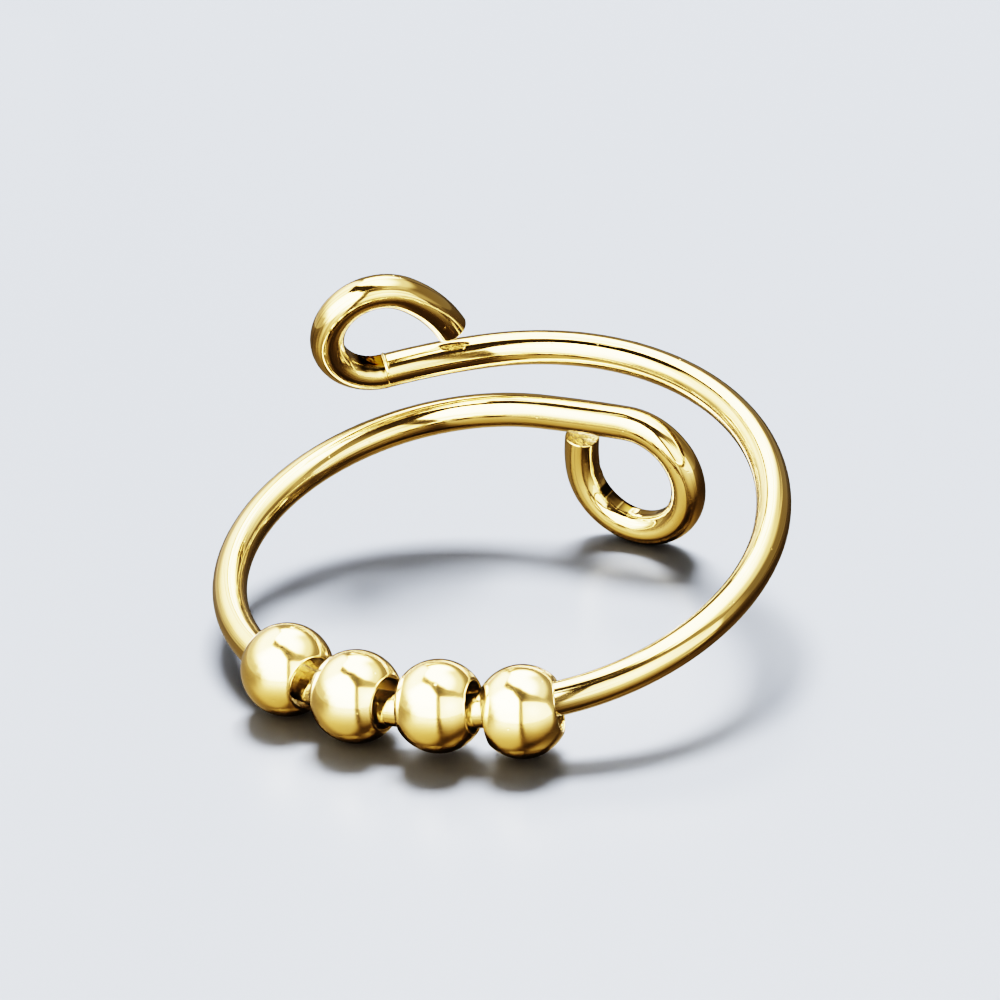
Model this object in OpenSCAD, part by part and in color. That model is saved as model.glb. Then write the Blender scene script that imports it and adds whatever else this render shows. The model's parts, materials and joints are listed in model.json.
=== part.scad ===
// Spinner ring of one round polished wire. The wire runs round the finger, passes over
// itself at the back and ends in two eyes, so the band can be opened or closed a little.
// Four drilled balls ride loose on the front and turn about the wire.
// The ring lies as it rests by itself: on its first two beads and on its low eye.

/* [Band] */
// Diameter of the round wire
wire_d = 1.2; // [1:0.05:1.4]
// Mean diameter of the finger hole
hole_d = 17.2; // [15.2:0.2:21.2]
// Bend radius of the high end's eye, to the middle of the wire
high_eye_r = 1.8; // [1.6:0.05:2.4]
// Bend radius of the low end's eye, to the middle of the wire
low_eye_r = 2.1; // [1.7:0.05:2.5]
// Clearance between the high end's cut end and the wire that it closes on
high_gap = 0.3; // [0.1:0.05:0.5]
// Clearance between the low end's cut end and the wire that it closes on
low_gap = 0.06; // [0.04:0.01:0.2]

/* [Beads] */
// Diameter of a bead
bead_d = 3.2; // [3:0.1:4]
// Play of a bead's hole over the wire, on the diameter
bead_play = 0.55; // [0.45:0.05:0.7]
// Width of the flat rim round each mouth of the hole
rim_w = 0.1; // [0.05:0.05:0.25]

/* [Hidden] */
$fn = 64;

wire_r = wire_d / 2;
band_r = (hole_d + wire_d) / 2;
bead_r = bead_d / 2;
bore_d = wire_d + bead_play;
flat_d = bore_d + 2 * rim_w;
bead_l = sqrt(bead_d ^ 2 - flat_d ^ 2);

// Bends from the front towards each end. Columns: bend radius in band radii, angle that the
// wire turns, roll of the bend's plane about the wire before it.
FRONT = 1.2;
HIGH_SIDE = [[0.9, 75, 2], [1.03, 101, 5], [2, 11, 0]];
LOW_SIDE = [[0.84, 146, 1], [6, 3.5, 0]];
// Angle of the front bend on the high side and on the low side of the ring's front point
HIGH_FRONT = 27;
LOW_FRONT = 38;
// Eyes. Columns: angle that the eye turns, roll of its plane, heading of the cut end
// against the wire that the eye starts from.
HIGH_EYE = [221, 89, 252.5];
LOW_EYE = [272, 82, 285];

// Beads. Columns: place along the wire in bead pitches from the front point, seat of the
// bead over (+) or under (-) the wire in shares of the radial play, lean of that seat
// about the wire.
BEADS = [
    [-2.01, 0.85, 0],
    [-0.845, 0.85, 0],
    [0.3, 0.85, 0],
    [1.32, -0.85, -15],
];
// Turn of the resting ring about the vertical
FACING = -24;
// How much the knots inside the wire are over its diameter
KNOT_OVER = 0.01;

// Vector v turned by angle a about the unit vector w
function turned(v, w, a) = v * cos(a) + cross(w, v) * sin(a) + w * (w * v) * (1 - cos(a));
function unit(v) = v / norm(v);

// A state of the wire is [point, heading, side that it bends to].
// The bend that starts there is [radius, angle, roll].
function rolled(state, roll) = [state[0], state[1], turned(state[2], state[1], roll)];
function along(state, bend, a) =
    let (s = rolled(state, bend[2]))
    [
        s[0] + bend[0] * (sin(a) * s[1] + (1 - cos(a)) * s[2]),
        cos(a) * s[1] + sin(a) * s[2],
        cos(a) * s[2] - sin(a) * s[1],
    ];
function states(state, bends, i = 0) =
    i == len(bends) ? [state]
    : concat([state], states(along(state, bends[i], bends[i][1]), bends, i + 1));

// Bends of a side in millimetres
function side_bends(rows) = [for (row = rows) [row[0] * band_r, row[1], row[2]]];

// Bends of an eye: the eye itself, then the tail. The tail's radius is worked out so that
// the cut end stops a gap clear of the wire that the eye starts from.
function eye_bends(eye_r, eye, gap) =
    let (
        stop = wire_r * (1 + abs(cos(eye[2]))) + gap,
        tail_r = (stop - eye_r * (1 - cos(eye[0]))) / (cos(eye[0]) - cos(eye[2]))
    )
    [[eye_r, eye[0], eye[1]], [tail_r, eye[2] - eye[0], 0]];

// The ring's front point and the state of the wire at an angle along the front bend
front_r = FRONT * band_r;
front_point = [[0, -band_r, 0], [1, 0, 0], [0, 1, 0]];
function on_front(a) = along(front_point, [front_r, 0, 0], a);
function reversed(state) = [state[0], -state[1], state[2]];

high_bends = concat(side_bends(HIGH_SIDE), eye_bends(high_eye_r, HIGH_EYE, high_gap));
low_bends = concat(side_bends(LOW_SIDE), eye_bends(low_eye_r, LOW_EYE, low_gap));
high_states = states(on_front(HIGH_FRONT), high_bends);
low_states = states(reversed(on_front(-LOW_FRONT)), low_bends);

// How far the wire bows to its side within a bead
bead_bow = bead_l ^ 2 / 8 / front_r;
// Pitch: angle along the front bend at which the rims of neighbouring beads just touch
bead_pitch = 2 * atan(bead_l / 2 / (front_r - bead_bow / 2 - flat_d / 2));

// State of the wire at a bead, and the bead's middle over or under it. Half the bow is
// left on each side of the hole's axis.
function bead_state(bead) = on_front(bead[0] * bead_pitch);
function bead_middle(bead) =
    let (
        s = bead_state(bead),
        seat = turned(cross(s[1], s[2]), s[1], bead[2])
    )
    s[0] + bead_bow / 2 * s[2] + bead[1] * bead_play / 2 * seat;

// Rest: the floor touches the first two beads and the low eye from below.
// low_point is the lowest point of the eye's bend for the floor's normal.
eye_at = len(LOW_SIDE);
eye_state = rolled(low_states[eye_at], LOW_EYE[1]);
eye_middle = eye_state[0] + low_eye_r * eye_state[2];
eye_axis = cross(eye_state[1], eye_state[2]);
function low_point(normal) =
    eye_middle - low_eye_r * unit(normal - (normal * eye_axis) * eye_axis);
function floor_normal(normal, tries) =
    let (
        a = bead_middle(BEADS[0]),
        b = bead_middle(BEADS[1]),
        across = unit(b - a),
        reach = low_point(normal) - a,
        back = reach - (reach * across) * across,
        drop = (wire_r - bead_r) / norm(back),
        next = drop * unit(back) + sqrt(1 - drop ^ 2) * unit(cross(across, back))
    )
    tries == 0 ? normal : floor_normal(next, tries - 1);
up = floor_normal([0, 0, 1], 12);

// Axes of the floor in the wire's own frame, turned about the vertical by FACING
floor_x = turned(unit(cross([0, 1, 0], up)), up, -FACING);
floor_y = cross(up, floor_x);
function laid(p) = [p * floor_x, p * floor_y, p * up];

// Outline of the resting ring, from which the middle and the floor are measured
function bend_points(state, bend) =
    [for (a = [0:1:bend[1]]) laid(along(state, bend, a)[0])];
function side_points(all_states, bends) =
    [for (i = [0:len(bends) - 1]) each bend_points(all_states[i], bends[i])];
wire_points = concat(side_points(high_states, high_bends), side_points(low_states, low_bends));
bead_points = [for (bead = BEADS) laid(bead_middle(bead))];
function low_edge(k) =
    min(min([for (p = wire_points) p[k]]) - wire_r, min([for (p = bead_points) p[k]]) - bead_r);
function high_edge(k) =
    max(max([for (p = wire_points) p[k]]) + wire_r, max([for (p = bead_points) p[k]]) + bead_r);
middle = [
    (low_edge(0) + high_edge(0)) / 2,
    (low_edge(1) + high_edge(1)) / 2,
    bead_points[0][2] - bead_r,
];

// Lays what is drawn in the wire's own frame down on the floor
module lay_down() {
    translate(-middle)
        multmatrix([
            [floor_x[0], floor_x[1], floor_x[2], 0],
            [floor_y[0], floor_y[1], floor_y[2], 0],
            [up[0], up[1], up[2], 0],
        ])
            children();
}

// Moves what is drawn at the origin to a point, with its X, Y and Z along three axes
module place(point, x, y, z) {
    multmatrix([
        [x[0], y[0], z[0], point[0]],
        [x[1], y[1], z[1], point[1]],
        [x[2], y[2], z[2], point[2]],
    ])
        children();
}

// One bend of the round wire
module wire_bend(state, bend) {
    s = rolled(state, bend[2]);
    place(s[0] + bend[0] * s[2], -s[2], s[1], cross(s[1], s[2]))
        rotate_extrude(angle = bend[1])
            translate([bend[0], 0])
                circle(d = wire_d, $fn = 32);
}

// Ball inside the wire, a hair over its size, that joins two bends into one solid
module wire_knot(state) {
    place(state[0], state[2], cross(state[1], state[2]), state[1])
        sphere(d = wire_d + KNOT_OVER);
}

// Every bend from the front to one end. Each but the last closes with a knot.
module wire_side(all_states, bends) {
    last = len(bends) - 1;
    for (i = [0:last])
        union() {
            wire_bend(all_states[i], bends[i]);
            if (i < last) wire_knot(all_states[i + 1]);
        }
}

module wire() {
    color("gold")
        lay_down() {
            union() {
                wire_bend(on_front(-LOW_FRONT), [front_r, LOW_FRONT + HIGH_FRONT, 0]);
                wire_knot(on_front(-LOW_FRONT));
                wire_knot(on_front(HIGH_FRONT));
            }
            wire_side(high_states, high_bends);
            wire_side(low_states, low_bends);
        }
}

// A ball with two flat faces and a drilled hole, round the Z axis
module drilled_ball() {
    difference() {
        intersection() {
            sphere(d = bead_d);
            cylinder(d = 2 * bead_d, h = bead_l, center = true);
        }
        cylinder(d = bore_d, h = bead_d, center = true);
    }
}

module bead(i) {
    s = bead_state(BEADS[i]);
    color("gold")
        lay_down()
            place(bead_middle(BEADS[i]), s[2], cross(s[1], s[2]), s[1])
                drilled_ball();
}

module bead_1() { bead(0); }
module bead_2() { bead(1); }
module bead_3() { bead(2); }
module bead_4() { bead(3); }

wire();
bead_1();
bead_2();
bead_3();
bead_4();
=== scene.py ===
import json
import math

import bpy
import numpy as np
from mathutils import Matrix, Vector


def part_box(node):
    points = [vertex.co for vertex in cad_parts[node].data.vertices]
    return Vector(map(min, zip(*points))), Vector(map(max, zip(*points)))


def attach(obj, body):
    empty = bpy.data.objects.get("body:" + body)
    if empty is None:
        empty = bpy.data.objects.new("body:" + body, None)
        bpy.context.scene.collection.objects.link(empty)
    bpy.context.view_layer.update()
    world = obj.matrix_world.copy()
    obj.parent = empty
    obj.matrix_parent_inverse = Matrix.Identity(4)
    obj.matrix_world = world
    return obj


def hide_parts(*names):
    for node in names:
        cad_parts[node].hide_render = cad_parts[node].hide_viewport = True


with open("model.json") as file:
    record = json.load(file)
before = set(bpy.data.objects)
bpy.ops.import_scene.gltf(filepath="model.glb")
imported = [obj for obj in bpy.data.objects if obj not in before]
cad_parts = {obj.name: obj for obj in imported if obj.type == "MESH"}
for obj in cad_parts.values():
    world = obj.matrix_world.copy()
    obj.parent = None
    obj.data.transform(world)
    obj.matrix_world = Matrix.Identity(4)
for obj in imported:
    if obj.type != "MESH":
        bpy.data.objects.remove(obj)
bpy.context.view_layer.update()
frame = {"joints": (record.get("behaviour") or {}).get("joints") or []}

# Camera. A long lens about 42 cm from the ring looks down on its balls from the front, and
# is tilted a few degrees to the side.
MM = 0.001
CAMERA_AZIMUTH = math.radians(-0.32)
CAMERA_ELEVATION = math.radians(27.94)
CAMERA_ROLL = math.radians(-4.45)
CAMERA_DISTANCE = 417 * MM
CAMERA_AIM = Vector((0.099, 1.574, 4.608)) * MM
VIEW_WIDTH = 34.25 * MM
SENSOR_WIDTH = 36
NEAREST_SEEN = 10 * MM


def aim_camera(azimuth, elevation, roll, distance, aim):
    """Camera matrix: the view direction from azimuth and elevation, then the level right and
    up vectors turned about it by the roll."""
    across, height = math.cos(elevation), math.sin(elevation)
    back = Vector((math.sin(azimuth) * across, -math.cos(azimuth) * across, height))
    level = Vector((math.cos(azimuth), math.sin(azimuth), 0))
    right = math.cos(roll) * level + math.sin(roll) * back.cross(level)
    axes = Matrix((right, back.cross(right), back)).transposed().to_4x4()
    return Matrix.Translation(aim + distance * back) @ axes


def put(name, data):
    """A new object at the origin that shows a mesh, a lamp or a lens."""
    made = bpy.data.objects.new(name, data)
    bpy.context.scene.collection.objects.link(made)
    return made


lens = bpy.data.cameras.new("long_lens")
lens.sensor_width = SENSOR_WIDTH
lens.lens = SENSOR_WIDTH * CAMERA_DISTANCE / VIEW_WIDTH
lens.clip_start = NEAREST_SEEN
camera = put("camera", lens)
camera.matrix_world = aim_camera(
    CAMERA_AZIMUTH, CAMERA_ELEVATION, CAMERA_ROLL, CAMERA_DISTANCE, CAMERA_AIM
)
bpy.context.scene.camera = camera

# Wire. One round wire of gold-plated brass, bent cold round a mandrel, with an eye closed at
# each end on round-nosed pliers. Both ends are nipped off square, and it carries the balls.
# Its shape is worked out in millimetres.
WIRE_R = 0.6
BAND_R = 17.2 / 2 + WIRE_R
FRONT_R = 1.2 * BAND_R
FRONT_ANGLES = {"high": 27, "low": 38}
# Bends from the front to each end: radius in band radii, angle, roll of the bend's plane
SIDE_BENDS = {
    "high": [(0.9, 75, 2), (1.03, 101, 5), (2, 11, 0)],
    "low": [(0.84, 146, 1), (6, 3.5, 0)],
}
# Eyes: radius, angle, roll, heading of the cut end against the wire that the eye starts
# from, and the gap left between that wire and the cut end
EYES = {"high": (1.8, 221, 89, 252.5, 0.3), "low": (2.1, 272, 82, 285, 0.06)}
PATH_STEP = 0.02


def turned(vector, axis, degrees):
    """A vector turned about a unit axis: its part along the axis stays, and the rest turns in
    the plane across the axis."""
    angle = math.radians(degrees)
    along = axis * (axis @ vector)
    return along + (vector - along) * math.cos(angle) + np.cross(axis, vector) * math.sin(angle)


def unit(vectors):
    """Vectors of length 1: each one divided by its own length."""
    return vectors / np.linalg.norm(vectors, axis=-1, keepdims=True)


def eye_bends(radius, angle, roll, heading, gap):
    """An eye's bend and its tail. The tail's radius lets the cut end stop the gap clear of
    the wire that the eye starts from."""
    turn, end = math.cos(math.radians(angle)), math.cos(math.radians(heading))
    stop = WIRE_R * (1 + abs(end)) + gap
    tail = (stop - radius * (1 - turn)) / (turn - end)
    return [(radius, angle, roll), (tail, heading - angle, 0)]


def bends_of(side):
    """Radius, angle and roll of every bend from the front point to one end."""
    bends = [(FRONT_R, FRONT_ANGLES[side], 0)]
    bends += [(share * BAND_R, angle, roll) for share, angle, roll in SIDE_BENDS[side]]
    return bends + eye_bends(*EYES[side])


def along_bend(state, bend, arcs):
    """Points, headings and sides at lengths along a round bend: r sin a along the heading and
    r (1 - cos a) towards the side that it bends to."""
    point, heading, side = state
    radius, _, roll = bend
    side = turned(side, heading, roll)
    a = (arcs / radius)[:, None]
    points = point + radius * (np.sin(a) * heading + (1 - np.cos(a)) * side)
    return points, np.cos(a) * heading + np.sin(a) * side, np.cos(a) * side - np.sin(a) * heading


def bend_wire(state, bends):
    """One side of the wire from the front point to its cut end, at even steps: points, sides
    and carried vectors, and the length at which each bend starts. The carried vector keeps
    its angle to each bend's plane, so it never twists about the wire."""
    lengths = [radius * math.radians(angle) for radius, angle, _ in bends]
    starts = np.concatenate([[0], np.cumsum(lengths)])
    places = np.linspace(0, starts[-1], round(starts[-1] / PATH_STEP) + 1)
    rows, carried = [], state[2]
    for i, bend in enumerate(bends):
        inside = (places >= starts[i]) & (places < starts[i + 1])
        if i == len(bends) - 1:
            inside = places >= starts[i]
        arcs = np.append(places[inside] - starts[i], lengths[i])
        first_side = turned(state[2], state[1], bend[2])
        axis = np.cross(state[1], first_side)
        to_side, to_axis = carried @ first_side, carried @ axis
        points, headings, sides = along_bend(state, bend, arcs)
        kept = to_side * sides + to_axis * axis
        rows.append((points[:-1], sides[:-1], kept[:-1]))
        state, carried = (points[-1], headings[-1], sides[-1]), kept[-1]
    return [np.concatenate(column) for column in zip(*rows)], starts


def eased(path, width):
    """The path averaged along its length with a bell-shaped window, so its bends ease into
    each other. Past each end it goes on as its own mirror image through the end point."""
    half = round(width / 2 / PATH_STEP)
    bell = np.hanning(2 * half + 3)[1:-1]
    bell = bell / bell.sum()
    before, after = 2 * path[0] - path[half:0:-1], 2 * path[-1] - path[-2:-half - 2:-1]
    longer = np.vstack([before, path, after])
    return np.column_stack([np.convolve(column, bell, "valid") for column in longer.T])


along_x, along_y, along_z = np.eye(3)
front_point = np.array([0, -BAND_R, 0])
high, high_starts = bend_wire((front_point, along_x, along_y), bends_of("high"))
low, low_starts = bend_wire((front_point, -along_x, along_y), bends_of("low"))

# Both sides make one run from the low cut end to the high one. The hinges of the first and
# last ball turn about the wire's front, so their axes give the plane that it lies in, and
# the CAD wire's box gives its place.
FIRST_BALL_ANGLE = -28.98
hinges = {joint["child"]: joint for joint in frame["joints"]}
first_axis, last_axis = (unit(np.array(hinges[body]["axis"])) for body in ("ball_1", "ball_4"))
up = unit(np.cross(first_axis, last_axis))
front_x = turned(first_axis, up, -FIRST_BALL_ANGLE)
laid = np.array([front_x, np.cross(up, front_x), up])
raw, sides, carried = (np.vstack([a[:0:-1], b]) @ laid for a, b in zip(low, high))
cad_box = np.array(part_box("wire")) / MM
raw = raw + cad_box.mean(0) - (raw.max(0) + raw.min(0)) / 2

# The bends ease into each other over a little less than a millimetre, but the high eye
# starts at a crease
EASE = 0.9
CREASE_REACH = 0.4
steps = np.linalg.norm(np.diff(raw, axis=0), axis=1)
lengths = np.concatenate([[0], np.cumsum(steps)])
front_at = low_starts[-1]
low_eye_at = front_at - low_starts[-3]
high_eye_at = front_at + high_starts[-3]
wire_l = lengths[-1]
crease = np.exp(-(((lengths - high_eye_at) / CREASE_REACH) ** 2))[:, None]
path = crease * raw + (1 - crease) * eased(raw, EASE)

# Rings of points round the wire lie closer together in the eyes, from a millimetre before
# them, and closest at the crease
RINGS_PER_MM = 9.3
EYE_RINGS_PER_MM = 23
CREASE_RINGS_PER_MM = 60
EYE_LEAD = 1
CREASE_RINGS_REACH = 0.2
WIRE_SIDES = 80
END_ROUND = 0.07


def smooth(x, start, end):
    """0 before start, 1 past end, and 3 t^2 - 2 t^3 between them."""
    t = np.clip((x - start) / (end - start), 0, 1)
    return t * t * (3 - 2 * t)


def between(x, start, full, fading, end):
    """0 before start and past end, 1 from full to fading, and smooth slopes between them."""
    return smooth(x, start, full) * (1 - smooth(x, fading, end))


def ring_places():
    """Places of the rings along the wire: the wanted rings per millimetre are summed along
    it, and a ring is put wherever the sum passes a whole number."""
    in_eyes = smooth(low_eye_at - lengths, -EYE_LEAD, 0)
    in_eyes = in_eyes + smooth(lengths - high_eye_at, -EYE_LEAD, 0)
    at_crease = np.exp(-(((lengths - high_eye_at) / CREASE_RINGS_REACH) ** 2))
    density = RINGS_PER_MM + (EYE_RINGS_PER_MM - RINGS_PER_MM) * in_eyes
    density = density + CREASE_RINGS_PER_MM * at_crease
    summed = np.concatenate([[0], np.cumsum((density[1:] + density[:-1]) / 2 * steps)])
    first, last = np.interp([END_ROUND, wire_l - END_ROUND], lengths, summed)
    return np.interp(np.linspace(first, last, round(last - first)), summed, lengths)


def at_places(values):
    """Values along the path, read off by straight lines at the places of the rings."""
    return np.column_stack([np.interp(places, lengths, column) for column in values.T])


def angles_round(count):
    """Even angles once round a circle."""
    return np.linspace(0, 2 * math.pi, count, endpoint=False)


places = ring_places()
middles = at_places(path)
headings = unit(at_places(np.gradient(path, axis=0)))
carried = at_places(carried)
carried = unit(carried - (carried * headings).sum(1, keepdims=True) * headings)
bend_sides = at_places(sides)
round_angles = angles_round(WIRE_SIDES)
across = np.cross(headings, carried)
outward = (
    np.cos(round_angles)[None, :, None] * carried[:, None]
    + np.sin(round_angles)[None, :, None] * across[:, None]
)
# How squarely each point faces the inside of its bend, from 1 down to -1 on the outside
facing = (outward * unit(bend_sides)[:, None]).sum(2)
# Millimetres past the start of each eye
from_high, from_low = (places - high_eye_at)[:, None], (low_eye_at - places)[:, None]


def bumps(seed, along, around):
    """Random heights on the wire's rings, blurred along and around it by a bell in the
    frequency domain, with a mean of 0 and a spread of 1. Widths are in rings and sides."""
    heights = np.random.default_rng(seed).standard_normal((len(places), WIRE_SIDES))
    f_along = np.fft.fftfreq(len(places))[:, None]
    f_around = np.fft.fftfreq(WIRE_SIDES)[None, :]
    bell = np.exp(-2 * (math.pi * np.hypot(f_along * along, f_around * around)) ** 2)
    blurred = np.fft.ifft2(np.fft.fft2(heights) * bell).real
    return (blurred - blurred.mean()) / blurred.std()


SPARE_BITES = 8
# Painted shade: the range of darkness of each stretch, and where it fades at a stretch's ends
PAINTED_SHADE_DARKNESS, PAINTED_SHADE_EDGE = (0.85, 1), (-0.02, 0.06)


def bites(seed, spacing, low, high):
    """Places along the wire about a spacing apart where the jaws closed, from half to one and
    a half spacings from each to the next, and a random value for each from low to high."""
    dice = np.random.default_rng(seed)
    count = round(wire_l / spacing) + SPARE_BITES
    knots = np.cumsum(dice.uniform(0.5, 1.5, count)) * spacing
    return knots, dice.uniform(low, high, count)


def facets(seed, spacing, depth):
    """Flats left by the jaws along the wire: random depths at their bites, joined by straight
    lines, so that each flat meets the next at an edge."""
    return np.interp(places, *bites(seed, spacing, 0, depth))[:, None]


# Painted shade along the wire, in stretches between the jaws' bites
def painted_shade_stretches(seed, spacing):
    """A random darkness for each stretch between two bites, which falls to 0 over a few
    hundredths of a millimetre where two stretches meet."""
    knots, darkness = bites(seed, spacing, *PAINTED_SHADE_DARKNESS)
    at = np.searchsorted(knots, places)
    from_edge = np.minimum(knots[at] - places, places - np.append(0, knots)[at])
    return (darkness[at] * smooth(from_edge, *PAINTED_SHADE_EDGE))[:, None]


# The jaws press the inner side of each eye flat, in facets. The high eye's flat starts
# abruptly, deepest at the crease, and the low eye's comes in slowly.
HIGH_FLAT, LOW_FLAT = 0.045, 0.02
HIGH_START, LOW_START = (-0.03, 0.03), (0, 1.2)
CREASE_FLAT, CREASE_FADE = 0.07, 0.5
FLAT_SHARPNESS = 60
in_high = smooth(from_high, *HIGH_START)
in_low = smooth(from_low, *LOW_START)
deeper = CREASE_FLAT * np.exp(-from_high.clip(0) / CREASE_FADE)
pressed = in_high * (HIGH_FLAT + deeper + facets(3, spacing=0.8, depth=0.008))
pressed = pressed + in_low * (LOW_FLAT + facets(5, spacing=0.6, depth=0.03))
inner = facing.clip(0) / (1 - pressed / WIRE_R)
radii = WIRE_R * (1 + inner**FLAT_SHARPNESS) ** (-1 / FLAT_SHARPNESS)

# A small lip stands up before the crease, on the side that the eye bends to
LIP_H, LIP_AT, LIP_W = 0.03, -0.07, 0.045
LIP_FACE, LIP_RAGGED = (0.3, 0.8), 0.5
INTO_EYE = 0.1
eye_side = unit(bend_sides[np.searchsorted(places, high_eye_at + INTO_EYE)])
lip = LIP_H * np.exp(-(((from_high - LIP_AT) / LIP_W) ** 2)) * smooth(outward @ eye_side, *LIP_FACE)
lip = lip * (1 + LIP_RAGGED * bumps(19, along=4, around=3))

# The jaws also wrinkle the inner side. Painted shade darkens it on the low eye's facets and
# behind the crease, for the dark reflections there. Each mark starts, is full, fades and ends
# at these millimetres past the eye's start, and comes in between these values of facing.
HIGH_WRINKLES, WRINKLED_FACE = (0.1, 0.6, 1.6, 3.2), (0.55, 0.9)
LOW_PAINTED_SHADE, LOW_PAINTED_SHADE_FACE = (7.1, 7.2, 8.95, 9.05), (0.84, 0.9)
HIGH_PAINTED_SHADE, HIGH_PAINTED_SHADE_FACE = (*HIGH_START, 1.1, 1.9), (0.55, 0.8)
WRINKLED_AREA, WRINKLE_H, LOW_WRINKLES = (0.2, 1.1), 0.007, 0.8
PAINTED_SHADE_RAGGED = 0.05
wrinkled = smooth(bumps(7, along=7, around=5), *WRINKLED_AREA) * smooth(facing, *WRINKLED_FACE)
wrinkled = wrinkled * (between(from_high, *HIGH_WRINKLES) + LOW_WRINKLES * in_low)
ragged = facing + PAINTED_SHADE_RAGGED * bumps(23, along=3, around=3)
on_low = between(from_low, *LOW_PAINTED_SHADE) * smooth(facing, *LOW_PAINTED_SHADE_FACE)
on_high = between(from_high, *HIGH_PAINTED_SHADE) * smooth(ragged, *HIGH_PAINTED_SHADE_FACE)
stained = on_low * painted_shade_stretches(9, spacing=0.6) + on_high

# Bending leaves the whole wire a micron or so uneven, and the eyes a little more
WAVE_H, WORKED_WAVE_H, LONG_WAVE_H = 0.0009, 0.0012, 0.0012
wavy = (WAVE_H + WORKED_WAVE_H * (in_high + in_low)) * bumps(11, along=9, around=7)
wavy = wavy + LONG_WAVE_H * bumps(13, along=26, around=14)
radii = radii + lip + WRINKLE_H * wrinkled * bumps(17, along=1.3, around=1.2) + wavy

# Cut ends: the rim is rounded by tumbling, and the face keeps the low ridge, the grain and
# the wavy scores that the nippers leave
FACE_RINGS = 12
ROUND_RINGS = 6
RIDGE_H, RIDGE_TURN = 0.045, 0.6
GRAIN_H, DOME_H = 0.006, 0.004
SCORES_IN_GRAIN, SCORES_PER_MM = 3, 9
FACE_FROM_RIM = (0.4 * END_ROUND, 1.4 * END_ROUND)


def cut_end(middle, heading, ring, radius, seed):
    """Rings from the rim to the middle of a cut end, and that middle: a quarter round of
    END_ROUND, then a face whose height falls off evenly on both sides of a ridge, with random
    grain on it and scores as the sine of radius times the cosine of three times the angle."""
    t = np.linspace(0, math.pi / 2, ROUND_RINGS + 1)[1:]
    flat = np.full(FACE_RINGS - 1, END_ROUND)
    inset = np.concatenate([END_ROUND * (1 - np.cos(t)), flat])[:, None]
    lift = np.concatenate([END_ROUND * np.sin(t), flat])[:, None]
    shares = np.append(np.ones(ROUND_RINGS), 1 - np.arange(1, FACE_RINGS) / FACE_RINGS)
    spans = (radius[None] - inset) * shares[:, None]
    across_ridge = np.abs(spans * np.cos(round_angles - RIDGE_TURN)) / WIRE_R
    scores = np.sin(np.outer(spans[:, 0], np.cos(3 * round_angles)) * SCORES_PER_MM)
    grain = np.random.default_rng(seed).uniform(-1, 1, spans.shape) + SCORES_IN_GRAIN * scores
    on_face = smooth(WIRE_R - spans, *FACE_FROM_RIM)
    lift = lift - on_face * (RIDGE_H * across_ridge - GRAIN_H * grain)
    points = middle + spans[..., None] * ring + lift[..., None] * heading
    return points, middle + (END_ROUND + DOME_H) * heading


def grid_quads(rows, columns, closed_rows=False, closed_columns=False):
    """Quads between neighbouring points of a grid, counted row by row. Where the rows or the
    columns are closed, the last of them joins on to the first."""
    k = np.arange(rows if closed_rows else rows - 1)[:, None]
    j = np.arange(columns if closed_columns else columns - 1)[None]
    row, next_row, after = k * columns, (k + 1) % rows * columns, (j + 1) % columns
    quads = np.stack([row + j, row + after, next_row + after, next_row + j], -1)
    return quads.reshape(-1, 4).tolist()


def skin(count, sides):
    """Quads between rings of points, and a fan of triangles at each end from its middle. The
    middles are the last two points."""
    j = np.arange(sides)
    after, last = (j + 1) % sides, (count - 1) * sides
    start = np.stack([np.full(sides, count * sides), after, j], -1)
    end = np.stack([np.full(sides, count * sides + 1), last + j, last + after], -1)
    return grid_quads(count, sides, closed_columns=True) + start.tolist() + end.tolist()


def mark(mesh, name, strengths):
    """Stores at each point of a mesh how strongly something shows there."""
    layer = mesh.attributes.new(name, "FLOAT", "POINT")
    layer.data.foreach_set("value", strengths.ravel().astype(np.float32))


def solid(name, verts, faces, straight, **marks):
    """A smooth-shaded piece from points in millimetres. Each point keeps where it lies on
    the piece when that is laid out straight, and how strongly each kind of mark shows."""
    mesh = bpy.data.meshes.new(name)
    mesh.from_pydata((verts * MM).tolist(), [], faces)
    mesh.polygons.foreach_set("use_smooth", np.ones(len(mesh.polygons), bool))
    layer = mesh.attributes.new("straight", "FLOAT_VECTOR", "POINT")
    layer.data.foreach_set("vector", straight.ravel())
    for kind, strengths in marks.items():
        mark(mesh, kind, strengths)
    mesh.update()
    return put(name, mesh)


body = middles[:, None] + radii[..., None] * outward
low_face, low_middle = cut_end(middles[0], -headings[0], outward[0], radii[0], 21)
high_face, high_middle = cut_end(middles[-1], headings[-1], outward[-1], radii[-1], 22)
rings = np.concatenate([low_face[::-1], body, high_face])
verts = np.vstack([rings.reshape(-1, 3), low_middle, high_middle])
face_count = len(low_face)
ring_at = np.concatenate([np.zeros(face_count), places, np.full(face_count, wire_l)])
straight = np.stack(np.broadcast_arrays(
    ring_at[:, None], WIRE_R * np.cos(round_angles), WIRE_R * np.sin(round_angles)
), -1).reshape(-1, 3)
straight = np.vstack([straight, [[0, 0, 0], [wire_l, 0, 0]]])

# The balls rub rings round the wire in front, between these millimetres from its front
# point. The cut ends and the wrinkles are torn by the tools.
RUB_FROM, RUB_TO, RUB_FADE = -6.6, 4.2, 0.8
TORN_BY_WRINKLES, MOST_TORN = 0.5, 0.6
rub = between(ring_at - front_at, RUB_FROM - RUB_FADE, RUB_FROM, RUB_TO, RUB_TO + RUB_FADE)
rub = np.append(np.repeat(rub, WIRE_SIDES), [0, 0])
nip, stain = np.zeros((2, len(rings), WIRE_SIDES))
nipped_rings = face_count - ROUND_RINGS + 2
nip[:nipped_rings] = nip[-nipped_rings:] = 1
nip[face_count:-face_count] = (TORN_BY_WRINKLES * wrinkled).clip(0, MOST_TORN)
nip = np.append(nip, [1, 1])
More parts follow.
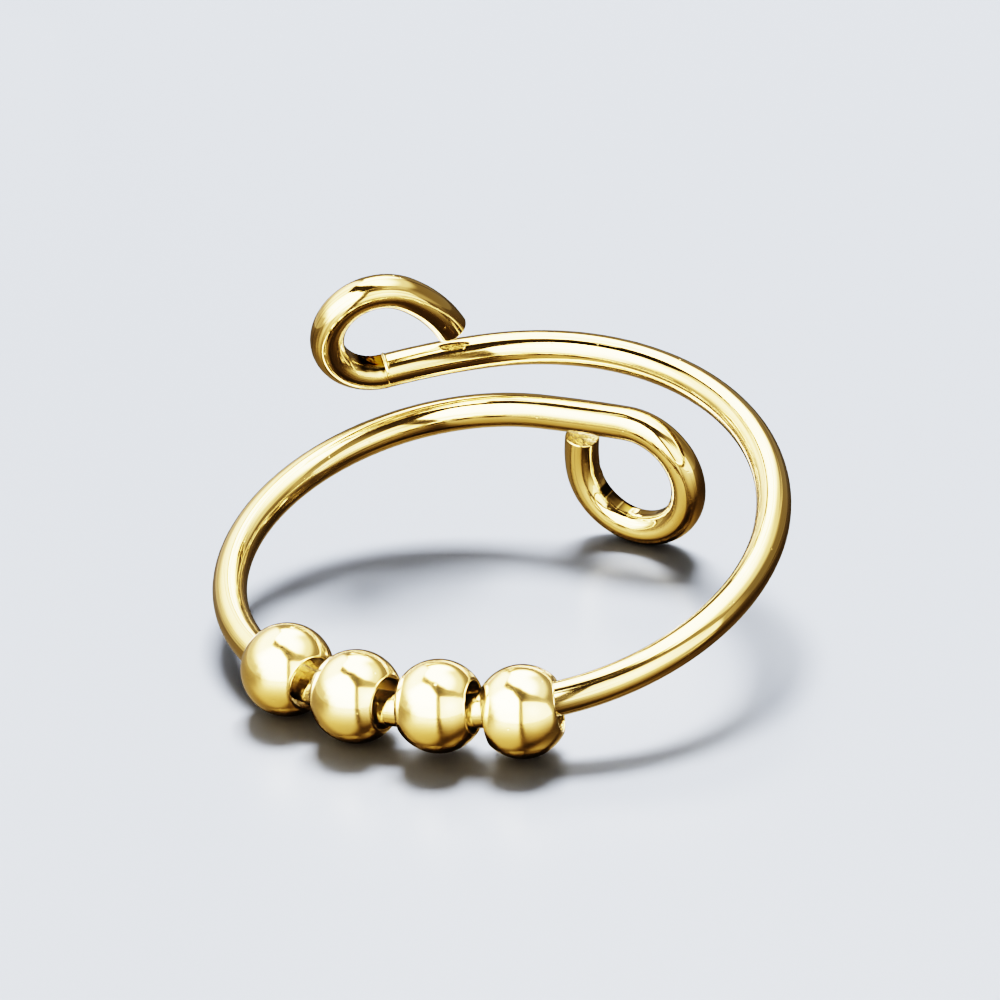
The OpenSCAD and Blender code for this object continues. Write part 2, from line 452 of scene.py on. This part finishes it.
# Painted shade on the wire's body, none on its cut ends
stain[face_count:-face_count] = stained
stain = np.append(stain, [0, 0])
faces = skin(len(rings), WIRE_SIDES)
bent_wire = solid("bent_wire", verts, faces, straight, rubbed=rub, nipped=nip, stained=stain)


# The gold plating is bright and even, a little paler or redder from place to place. Wire and
# balls share its colour, its polishing marks and its pits, though the wire's colour is darkened
# by painted shade.
def feed(tree, node, inputs):
    """Sets each input of a node to a plain value, or links it from a socket."""
    for name, value in inputs.items():
        if isinstance(value, bpy.types.NodeSocket):
            tree.links.new(value, node.inputs[name])
        else:
            node.inputs[name].default_value = value


def wired(tree, kind, inputs=None, **settings):
    """A new node with its settings and its inputs."""
    made = tree.nodes.new("ShaderNode" + kind)
    for name, value in settings.items():
        setattr(made, name, value)
    feed(tree, made, inputs or {})
    return made


def maths(tree, operation, *values):
    """The result of one arithmetic step on values or sockets."""
    inputs = dict(enumerate(values))
    return wired(tree, "Math", inputs, operation=operation).outputs[0]


def times(tree, first, second):
    """The product of two values or sockets."""
    return maths(tree, "MULTIPLY", first, second)


def mixed(tree, share, first, second):
    """The first colour where the share is 0 and the second where it is 1."""
    return wired(tree, "Mix", {0: share, 6: first, 7: second}, data_type="RGBA").outputs[2]


def ranged(tree, value, low, high, to_low=0, to_high=1):
    """A value carried from one range to another along an S curve."""
    inputs = {0: value, 1: low, 2: high, 3: to_low, 4: to_high}
    return wired(tree, "MapRange", inputs, interpolation_type="SMOOTHSTEP").outputs[0]


def noise(tree, position, scale, detail, stretch=None):
    """Noise at a position, which is first multiplied by the stretch along each axis."""
    if stretch:
        inputs = {0: position, 1: stretch}
        position = wired(tree, "VectorMath", inputs, operation="MULTIPLY").outputs[0]
    inputs = {"Vector": position, "Scale": scale, "Detail": detail}
    return wired(tree, "TexNoise", inputs).outputs[0]


def new_group(name, inputs, outputs):
    """An empty node group with named input and output sockets, and its two end nodes."""
    tree = bpy.data.node_groups.new(name, "ShaderNodeTree")
    for in_out, rows in (("INPUT", inputs), ("OUTPUT", outputs)):
        for label, kind, *value in rows:
            kind = "NodeSocket" + kind
            socket = tree.interface.new_socket(label, in_out=in_out, socket_type=kind)
            if value:
                socket.default_value = value[0]
    return tree, tree.nodes.new("NodeGroupInput").outputs, tree.nodes.new("NodeGroupOutput")


plating, given, out = new_group(
    "gold_plating",
    [
        ("Vector", "Vector"), ("Gold", "Color"), ("Pale", "Color"), ("Deep", "Color"),
        ("Patch size", "Float", 2.0), ("Patches", "Float", 0.5),
        ("Stain", "Color"), ("Stained", "Float"),
    ],
    [("Color", "Color")],
)
# Pale patches, then deeper ones of less than half their size, then the dark streaks and the
# painted shade. The noise shows where it passes the first of two numbers, and fully where it
# passes the second.
pale_scale = maths(plating, "DIVIDE", 1 / MM, given["Patch size"])
deep_scale = times(plating, pale_scale, 2.3)
pale = ranged(plating, noise(plating, given["Vector"], pale_scale, 2.0), 0.45, 0.75)
deep = ranged(plating, noise(plating, given["Vector"], deep_scale, 3.0), 0.5, 0.8)
toned = mixed(plating, times(plating, pale, given["Patches"]), given["Gold"], given["Pale"])
toned = mixed(plating, times(plating, deep, given["Patches"]), toned, given["Deep"])
feed(plating, out, {"Color": mixed(plating, given["Stained"], toned, given["Stain"])})

# Marks: how many fit in a millimetre along the piece and across it
DRAWN_LINES, RUBBED_RINGS, DARK_STREAKS = (0.2, 9.0, 9.0), (14.0, 0.6, 0.6), (0.12, 20.0, 20.0)
SMEARS_PER_MM, PITS_PER_MM, TEARS_PER_MM = 0.9, 1.8, 6
# What marks, tears and pits add to the roughness, and how deep they are in bump distances
MARK_ROUGH, TEAR_ROUGH, PIT_ROUGH = 0.03, 0.1, 0.1
MARK_DEEP, TEAR_DEEP, PIT_DEEP = 0.5, 40.0, 3.0
MOST_STREAKED = 0.2
polish, given, out = new_group(
    "polishing_marks",
    [
        ("Straight", "Vector"), ("Object", "Vector"), ("Rubbed", "Float"), ("Nipped", "Float"),
        ("Roughness", "Float", 0.05), ("Smears", "Float", 0.02), ("Lines", "Float", 1.0),
        ("Pits", "Float", 1.0),
    ],
    [("Roughness", "Float"), ("Height", "Float"), ("Streaks", "Float")],
)
# Lines drawn along the piece, rings rubbed round it, dark streaks, soft smears of grease,
# pits, and the torn grain where a cut or the jaws have bitten
drawn = ranged(polish, noise(polish, given["Straight"], 1.0, 2.0, DRAWN_LINES), 0.56, 0.72)
rung = ranged(polish, noise(polish, given["Straight"], 1.0, 2.0, RUBBED_RINGS), 0.55, 0.7)
rung = times(polish, rung, given["Rubbed"])
marks = times(polish, maths(polish, "ADD", drawn, rung), given["Lines"])
streaks = noise(polish, given["Straight"], 1.0, 1.0, DARK_STREAKS)
streaks = times(polish, ranged(polish, streaks, 0.58, 0.66, 0, MOST_STREAKED), given["Lines"])
smears = ranged(polish, noise(polish, given["Object"], SMEARS_PER_MM / MM, 3.0), 0.45, 0.8)
smears = times(polish, smears, given["Smears"])
cells = {"Vector": given["Object"], "Scale": PITS_PER_MM / MM, "Randomness": 1.0}
cells = wired(polish, "TexVoronoi", cells).outputs[0]
pits = times(polish, ranged(polish, cells, 0.04, 0.08, 1, 0), given["Pits"])
tears = noise(polish, given["Object"], TEARS_PER_MM / MM, 3.0)
tears = times(polish, tears, times(polish, given["Nipped"], TEAR_DEEP))
rough = maths(polish, "ADD", given["Roughness"], smears)
rough = maths(polish, "MULTIPLY_ADD", marks, MARK_ROUGH, rough)
rough = maths(polish, "MULTIPLY_ADD", given["Nipped"], TEAR_ROUGH, rough)
rough = maths(polish, "MULTIPLY_ADD", pits, PIT_ROUGH, rough)
dents = maths(polish, "MULTIPLY_ADD", marks, MARK_DEEP, times(polish, pits, PIT_DEEP))
height = times(polish, maths(polish, "ADD", dents, tears), -1.0)
feed(polish, out, {"Roughness": rough, "Height": height, "Streaks": streaks})

GOLD, PALE_GOLD, DEEP_GOLD = (1.0, 0.65, 0.225), (1.0, 0.7, 0.29), (0.97, 0.58, 0.165)
# Colour of the dark streaks and of the painted shade, and the glare tint of the painted shade
STREAK_AND_SHADE_COLOUR, PAINTED_SHADE_EDGE_ON = (0.035, 0.022, 0.006, 1), (0.16, 0.09, 0.025, 1)
GOLD_IN_GOLD = (0.9, 0.86, 0.75, 1)
WHITE = (1, 1, 1, 1)
MARK_H = 0.004 * MM
MARK_BUMP = 0.5


def gold(name, shade, patch_size, patches, roughness, smears, lines, pits):
    """Gold plating on brass, with its own strengths of patches, smears, lines and pits. Its colours
    are multiplied by shade, which paints a darker copy of the same gold for a piece that is to
    look less lit. Gold mirrored in gold is paler, or the gaps between the balls turn orange."""
    material = bpy.data.materials.new(name)
    material.use_nodes = True
    tree = material.node_tree
    position = wired(tree, "TexCoord").outputs["Object"]
    straight = wired(tree, "Attribute", attribute_name="straight").outputs["Vector"]
    # Marks stored on the piece, among them the wire's painted shade
    rubbed, nipped, stained = (
        wired(tree, "Attribute", attribute_name=kind).outputs["Fac"]
        for kind in ("rubbed", "nipped", "stained")
    )
    surface = wired(tree, "Group", {
        "Straight": straight, "Object": position, "Rubbed": rubbed, "Nipped": nipped,
        "Roughness": roughness, "Smears": smears, "Lines": lines, "Pits": pits,
    }, node_tree=polish).outputs
    shaded = {
        label: (*(shade * np.array(colour)), 1)
        for label, colour in (("Gold", GOLD), ("Pale", PALE_GOLD), ("Deep", DEEP_GOLD))
    }
    colour = wired(tree, "Group", {
        "Vector": position, "Patch size": patch_size, "Patches": patches, "Stain": STREAK_AND_SHADE_COLOUR,
        "Stained": maths(tree, "MAXIMUM", surface["Streaks"], stained), **shaded,
    }, node_tree=plating).outputs["Color"]
    in_gold = wired(tree, "LightPath").outputs["Is Glossy Ray"]
    bump = {"Strength": MARK_BUMP, "Distance": MARK_H, "Height": surface["Height"]}
    feed(tree, tree.nodes["Principled BSDF"], {
        "Metallic": 1.0,
        "Base Color": mixed(tree, in_gold, colour, GOLD_IN_GOLD),
        "Roughness": surface["Roughness"],
        "Normal": wired(tree, "Bump", bump).outputs["Normal"],
    })
    return material


# The wire's gold is the balls' gold at 0.64 of its brightness: painted shade
wire_gold = gold(
    "wire_plating_dimmed_by_painted_shade", shade=0.64, patch_size=3.0, patches=0.6,
    roughness=0.07, smears=0.03, lines=2.4, pits=1.0,
)
# The painted shade also keeps the gold from turning white where it is seen edge on
tree = wire_gold.node_tree
stained = wired(tree, "Attribute", attribute_name="stained").outputs["Fac"]
edge_on = mixed(tree, stained, WHITE, PAINTED_SHADE_EDGE_ON)
feed(tree, tree.nodes["Principled BSDF"], {"Specular Tint": edge_on})
bent_wire.data.materials.append(wire_gold)
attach(bent_wire, "band")
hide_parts("wire")

# Balls. Four drilled balls of gold-plated brass, threaded on before the eyes are closed. They
# hang and turn loosely on the wire, and each mouth has a narrow flat rim with rounded edges.
BALL_R = 1.6
BORE_R = 0.875
RIM_R = BORE_R + 0.1
BALL_L = 2 * math.sqrt(BALL_R**2 - RIM_R**2)
LIP_ROUND = 0.045
LIP_START = 0.035
MOUTH_ROUND = 0.035
BALL_SIDES = 144
BALL_POINTS, LIP_POINTS, MOUTH_POINTS, BORE_POINTS = 44, 8, 8, 6


def ball_profile():
    """The closed section of a drilled ball, as places along its axis and radii: half the ball,
    which ends LIP_START radians before its rim, a lip rounded along a quadratic curve, the
    flat rim, a quarter round for the mouth and the bore, all mirrored about the middle."""
    half_l = BALL_L / 2
    a = np.linspace(math.pi / 2, math.atan2(RIM_R, half_l) + LIP_START, BALL_POINTS)
    ball = np.stack([BALL_R * np.cos(a), BALL_R * np.sin(a)], -1)
    corner, rim = np.array([half_l, RIM_R]), np.array([half_l, RIM_R - LIP_ROUND])
    t = np.linspace(0, 1, LIP_POINTS + 1)[1:, None]
    lip_curve = (1 - t) ** 2 * ball[-1] + 2 * t * (1 - t) * corner + t**2 * rim
    s = np.linspace(0, math.pi / 2, MOUTH_POINTS)
    mouth = np.stack([
        half_l - MOUTH_ROUND * (1 - np.cos(s)), BORE_R + MOUTH_ROUND - MOUTH_ROUND * np.sin(s)
    ], -1)
    bored_at = np.linspace(half_l - MOUTH_ROUND, 0, BORE_POINTS + 1)[1:]
    bore = np.stack([bored_at, np.full(BORE_POINTS, BORE_R)], -1)
    half = np.vstack([ball, lip_curve, mouth, bore])
    other = half[1:-1] * np.array([-1, 1])
    return np.vstack([half, other[::-1]])


def revolved(middle, axis, profile, angles, relief):
    """A closed profile turned about an axis: at each angle v, a point at place z and radius r
    is middle + z axis + r (cos v a + sin v b), with a and b across the axis. Relief is added
    to the radius. Also gives each point as z, r cos v and r sin v."""
    first = unit(np.cross(axis, along_z))
    second = np.cross(axis, first)
    ring = np.cos(angles)[:, None] * first + np.sin(angles)[:, None] * second
    radius = profile[:, None, 1:] + relief[..., None]
    points = middle + profile[:, None, :1] * axis + radius * ring
    straight = np.stack([
        np.broadcast_to(profile[:, :1], relief.shape),
        profile[:, 1:] * np.cos(angles), profile[:, 1:] * np.sin(angles),
    ], -1)
    return points.reshape(-1, 3), straight.reshape(-1, 3)


# A ball that was tumbled bright is a few microns out of round. Its rims are rubbed by the
# next ball, and the drill leaves its bore a little torn. Marks differ from ball to ball,
# because each is read from its own stretch of the pattern.
OVAL_H, THREE_SIDED_H = 0.0015, 0.0008
UNDER_SKIN = (0.06, 0.005)
RUBBED_W = 0.25
TORN_IN_BORE, TORN_OVER_BORE = 0.4, (0.004, 0.02)
STRETCH_APART = 10
ball_gold = gold(
    "ball_plating", shade=1.0, patch_size=2.4, patches=0.5,
    roughness=0.13, smears=0.04, lines=0.25, pits=0.8,
)
profile = ball_profile()
faces = grid_quads(len(profile), BALL_SIDES, closed_rows=True, closed_columns=True)
v = angles_round(BALL_SIDES)
profile_angles = np.arctan2(profile[:, 1], profile[:, 0])[:, None]
under, skin_at = BALL_R - np.array(UNDER_SKIN)
on_ball = smooth(np.hypot(*profile.T), under, skin_at)[:, None]
near_rim = smooth(np.abs(profile[:, 0]), BALL_L / 2 - RUBBED_W, BALL_L / 2)
in_bore = TORN_IN_BORE * (1 - smooth(profile[:, 1] - BORE_R, *TORN_OVER_BORE))
rub, bored = np.repeat(near_rim, BALL_SIDES), np.repeat(in_bore, BALL_SIDES)
for number in (1, 2, 3, 4):
    hinge = hinges[f"ball_{number}"]
    middle, axis = np.array(hinge["pos_m"]) / MM, unit(np.array(hinge["axis"]))
    oval = np.sin(2 * v + number) * np.sin(profile_angles)
    three_sided = np.sin(3 * v + 2 * number + 2 * profile_angles)
    relief = on_ball * (OVAL_H * oval + THREE_SIDED_H * three_sided)
    verts, straight = revolved(middle, axis, profile, v, relief)
    straight = straight + number * STRETCH_APART
    ball = solid(f"ball_{number}", verts, faces, straight, rubbed=rub, nipped=bored)
    ball.data.materials.append(ball_gold)
    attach(ball, f"ball_{number}")
    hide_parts(f"bead_{number}")

# Floor. A wide sheet of pale satin board. To the polished gold it shows darker and shinier than
# to the eye, with a warm glare, a painted reflection that turns the lower halves of the balls
# deep gold.
FLOOR_HALF = 3
FLOOR_SEEN, FLOOR_MIRRORED = (0.50, 0.55, 0.64, 1), (0.024, 0.019, 0.012, 1)
PAINTED_WARM_GLARE = (1, 0.89, 0.64, 1)


def bare_material(name):
    """A new material with nothing in it, its node tree, and the socket for its shader."""
    material = bpy.data.materials.new(name)
    material.use_nodes = True
    nodes = material.node_tree.nodes
    nodes.remove(nodes["Principled BSDF"])
    return material, material.node_tree, nodes["Material Output"].inputs["Surface"]


def satin(tree, colour, roughness, ior, glare):
    """The shader of satin board, with a glare of its own colour."""
    inputs = {"Base Color": colour, "Roughness": roughness, "IOR": ior, "Specular Tint": glare}
    return wired(tree, "BsdfPrincipled", inputs).outputs[0]


board = bpy.data.meshes.new("floor")
corners = [(-1, -1, 0), (1, -1, 0), (1, 1, 0), (-1, 1, 0)]
board.from_pydata((FLOOR_HALF * np.array(corners)).tolist(), [], [(0, 1, 2, 3)])
floor = put("floor", board)
material, tree, surface = bare_material("satin_board")
seen = satin(tree, FLOOR_SEEN, roughness=0.32, ior=1.28, glare=WHITE)
# Painted reflection: the darker, warm board that only mirrored rays see
mirrored = satin(tree, FLOOR_MIRRORED, roughness=0.23, ior=1.5, glare=PAINTED_WARM_GLARE)
in_mirror = wired(tree, "LightPath").outputs["Is Glossy Ray"]
both = wired(tree, "MixShader", {0: in_mirror, 1: seen, 2: mirrored}).outputs[0]
tree.links.new(both, surface)
board.materials.append(material)

# Lights. Three large white sheets of light stand round the ring, one to the left, one to the
# right in front, and one overhead that comes down behind. The gold mirrors them, with the
# dark gaps between them. A soft lamp behind and an even sky light the floor.
SHEETS_ABOUT = np.array([-3.7, -6.5, 1.7])
SHEET_ROWS, SHEET_COLUMNS = 33, 49
SIDE_FADE, FAR_FADE = 0.05, 0.07
# The gold mirrors a sky that is dim low down, dark high up and a little lighter on the
# right in front: its brightness at the start and end of SKY_RISE, and what is added there
SKY_ON_FLOOR, LOW_IN_GOLD, HIGH_IN_GOLD, RIGHT_IN_GOLD = 0.1, 0.3, 0.08, 0.35
SKY_RISE, SKY_TO_RIGHT, SKY_TO_FRONT = (0.45, 0.8), (0.05, 0.4), 0.3
# Share of the sheets' light that the gold throws on to the floor
GLINTS_ON_FLOOR = 0.15


def direction(lon, lat):
    """Unit vector at a height of lat degrees, lon degrees to the right of the camera side."""
    lon, lat = np.radians(lon), np.radians(lat)
    return np.stack([np.sin(lon) * np.cos(lat), -np.cos(lon) * np.cos(lat), np.sin(lat)], -1)


def chain_of(corners):
    """Directions at even steps along straight lines from each corner to the next."""
    ends = direction(*np.array(corners, float).T)
    at = np.linspace(0, len(corners) - 1, SHEET_COLUMNS)
    return np.column_stack([np.interp(at, np.arange(len(corners)), end) for end in ends.T])


def light_sheet(name, away, near, far, glow, near_fade=0):
    """A sheet of light on a sphere of radius away about the ring's balls, ruled between two
    chains of directions, and as bright at each point as glow says from the point's direction.
    It fades into the sky at its edges, at the near chain over near_fade of its width."""
    v = np.linspace(0, 1, SHEET_ROWS)[:, None]
    u = np.linspace(0, 1, SHEET_COLUMNS)[None]
    ways = unit((1 - v[..., None]) * chain_of(near) + v[..., None] * chain_of(far))
    fade = smooth(np.minimum(u, 1 - u), 0, SIDE_FADE) * smooth(1 - v, 0, FAR_FADE)
    if near_fade:
        fade = fade * smooth(v, 0, near_fade)
    sky = LOW_IN_GOLD + (HIGH_IN_GOLD - LOW_IN_GOLD) * smooth(ways[..., 2], *SKY_RISE)
    to_front = smooth(-ways[..., 1], 0, SKY_TO_FRONT)
    sky = sky + RIGHT_IN_GOLD * smooth(ways[..., 0], *SKY_TO_RIGHT) * to_front
    turns = np.degrees(np.arctan2(ways[..., 0], -ways[..., 1]))
    heights = np.degrees(np.arcsin(ways[..., 2]))
    spots = (SHEETS_ABOUT + away * ways) * MM
    mesh = bpy.data.meshes.new(name)
    mesh.from_pydata(spots.reshape(-1, 3).tolist(), [], grid_quads(SHEET_ROWS, SHEET_COLUMNS))
    mark(mesh, "glow", sky + (glow(turns, heights) - sky) * fade)
    sheet = put(name, mesh)
    sheet.visible_camera = sheet.visible_diffuse = sheet.visible_shadow = False
    material, tree, surface = bare_material(name)
    strength = wired(tree, "Attribute", attribute_name="glow").outputs["Fac"]
    direct = maths(tree, "LESS_THAN", wired(tree, "LightPath").outputs["Diffuse Depth"], 0.5)
    dimmed = maths(tree, "MULTIPLY_ADD", direct, 1 - GLINTS_ON_FLOOR, GLINTS_ON_FLOOR)
    emission = {"Color": WHITE, "Strength": times(tree, strength, dimmed)}
    tree.links.new(wired(tree, "Emission", emission).outputs[0], surface)
    mesh.materials.append(material)


def left_glow(turn, height):
    """Bright high up, brightest beside the camera, and falling off along its low left edge."""
    low_edge = 25 * smooth(-turn, 50, 90)
    beside = smooth(turn, -108, -86) * smooth(height - low_edge, -6, 6)
    return 0.8 + 4.5 * smooth(height, 10, 38) + 10 * beside


def right_glow(turn, height):
    """Even, with a soft bell of more light round its middle."""
    return 3.8 + 3.0 * np.exp(-(((turn - 30) / 20) ** 2) - ((height - 22) / 16) ** 2)


def top_glow(turn, height):
    """Bright overhead and dark low down, with a darker part on the right."""
    on_right = smooth(90 - abs(turn - 95), 20, 45) * smooth(80 - height, 5, 35)
    return 0.3 + 12 * smooth(height, 27, 40) * (1 - 0.88 * on_right)


light_sheet(
    "left_sheet", 61, [(-170, -1.2), (-7, -1.2)],
    [(-170, 44), (-140, 57), (-115, 58), (-90, 65), (-60, 72), (-35, 69), (-15, 62), (-5, 54)],
    left_glow,
)
light_sheet(
    "right_sheet", 61, [(2, -1.2), (75, -1.2)],
    [(8, 50), (15, 50), (30, 46), (50, 38), (73, 20)],
    right_glow,
)
light_sheet(
    "top_sheet", 150,
    [
        (-165, 42), (-140, 58), (-115, 77), (-60, 87), (15, 86), (30, 78), (50, 60), (70, 39),
        (88, 12),
    ],
    [
        (-170, 32), (-178, 32), (178, 30), (170, 28), (160, 26), (145, 22), (130, 16),
        (110, 8), (95, 3),
    ],
    top_glow, near_fade=0.07,
)

world = bpy.data.worlds.new("sky")
world.use_nodes = True
tree = world.node_tree
way = wired(tree, "SeparateXYZ", {0: wired(tree, "TexCoord").outputs["Generated"]}).outputs
risen = ranged(tree, way["Z"], *SKY_RISE, LOW_IN_GOLD, HIGH_IN_GOLD)
in_front = ranged(tree, way["Y"], -SKY_TO_FRONT, 0, 1, 0)
to_right = ranged(tree, way["X"], *SKY_TO_RIGHT, 0, RIGHT_IN_GOLD)
in_gold = maths(tree, "MULTIPLY_ADD", to_right, in_front, risen)
in_mirror = wired(tree, "LightPath").outputs["Is Glossy Ray"]
strength = wired(tree, "Mix", {0: in_mirror, 2: SKY_ON_FLOOR, 3: in_gold}).outputs[0]
feed(tree, tree.nodes["Background"], {"Color": WHITE, "Strength": strength})
bpy.context.scene.world = world

LAMP_AT = Vector((0.03, 0.18, 0.34))
LAMP_WIDTH, LAMP_DEPTH = 0.16, 0.10
LAMP_WATTS = 2.8
light = bpy.data.lights.new("back_lamp", "AREA")
light.shape = "RECTANGLE"
light.size, light.size_y = LAMP_WIDTH, LAMP_DEPTH
light.energy = LAMP_WATTS
lamp = put("back_lamp", light)
lamp.location = LAMP_AT
lamp.rotation_euler = LAMP_AT.to_track_quat("Z", "Y").to_euler()
lamp.visible_glossy = lamp.visible_camera = False

# Bright whites and deep shadows, as in a jeweller's photograph
bpy.context.scene.view_settings.view_transform = "Filmic"
bpy.context.scene.view_settings.look = "Very High Contrast"
